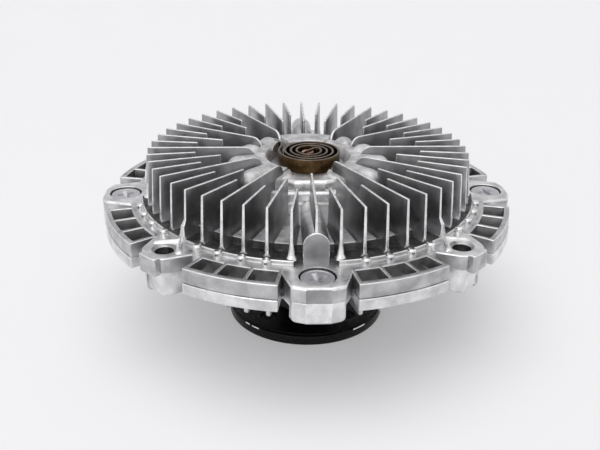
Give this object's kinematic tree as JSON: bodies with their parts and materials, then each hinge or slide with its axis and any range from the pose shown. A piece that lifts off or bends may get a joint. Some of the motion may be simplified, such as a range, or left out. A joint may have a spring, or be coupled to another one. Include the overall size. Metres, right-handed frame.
{
  "type": "viscous fan clutch",
  "caption": "Engine cooling fan clutch with a finned cast cover and case, a bimetal coil on the front, a flanged fan mount and a round drive flange.",
  "frame": {"origin": "centre of the drive flange's lower face, which is the middle of the bounding box's bottom", "axes": "+Z along the shaft's axis from the drive flange to the bimetal coil; -Y through the front cover screw; +X to the right as seen from the front"},
  "size_m": [0.2066, 0.2066, 0.0912],
  "materials": {
    "cast_aluminium": "bright die-cast aluminium, satin",
    "plated_steel": "zinc-plated steel, satin",
    "bearing_steel": "ground bearing steel",
    "black_steel": "satin black coating on steel",
    "bimetal_strip": "dark bronze-brown oxidised strip",
    "copper_alloy": "copper-coloured staked shaft end",
    "seal_rubber": "matt black rubber"
  },
  "bodies": {
    "drive": {"drive_shaft": "black_steel", "rotor": "cast_aluminium", "bearing_inner_ring": "bearing_steel"},
    "housing": {"front_cover": "cast_aluminium", "rear_case": "cast_aluminium", "cover_screw_1": "plated_steel", "cover_screw_2": "plated_steel", "cover_screw_3": "plated_steel", "cover_screw_4": "plated_steel", "case_seal_ring": "seal_rubber", "separator_plate": "plated_steel", "plate_rivet_1": "plated_steel", "plate_rivet_2": "plated_steel", "plate_rivet_3": "plated_steel", "plate_rivet_4": "plated_steel", "bearing_outer_ring": "bearing_steel", "bearing_shield_front": "bearing_steel", "bearing_shield_rear": "bearing_steel", "bearing_retaining_ring": "plated_steel", "bimetal_coil": "bimetal_strip"},
    "cage": {"bearing_cage": "bearing_steel", "bearing_ball_1": "bearing_steel", "bearing_ball_2": "bearing_steel", "bearing_ball_3": "bearing_steel", "bearing_ball_4": "bearing_steel", "bearing_ball_5": "bearing_steel", "bearing_ball_6": "bearing_steel", "bearing_ball_7": "bearing_steel", "bearing_ball_8": "bearing_steel", "bearing_ball_9": "bearing_steel"},
    "valve": {"valve_shaft": "copper_alloy", "valve_shaft_seal": "seal_rubber", "valve_arm": "plated_steel"}
  },
  "joints": [
    {"name": "housing_spin", "type": "hinge", "parent": "drive", "child": "housing", "pos_m": [0, 0, 0.0355], "axis": [0, 0, 1], "continuous": true},
    {"name": "cage_spin", "type": "hinge", "parent": "drive", "child": "cage", "pos_m": [0, 0, 0.0355], "axis": [0, 0, 1], "continuous": true},
    {"name": "valve_turn", "type": "hinge", "parent": "housing", "child": "valve", "pos_m": [0, 0, 0.07], "axis": [0, 0, 1], "range_deg": [0, 30], "stiffness_Nm_per_rad": 0.05, "deforming": ["bimetal_coil"]}
  ],
  "couplings": [
    {"joint": "cage_spin", "follows": "housing_spin", "ratio": 0.5984}
  ]
}
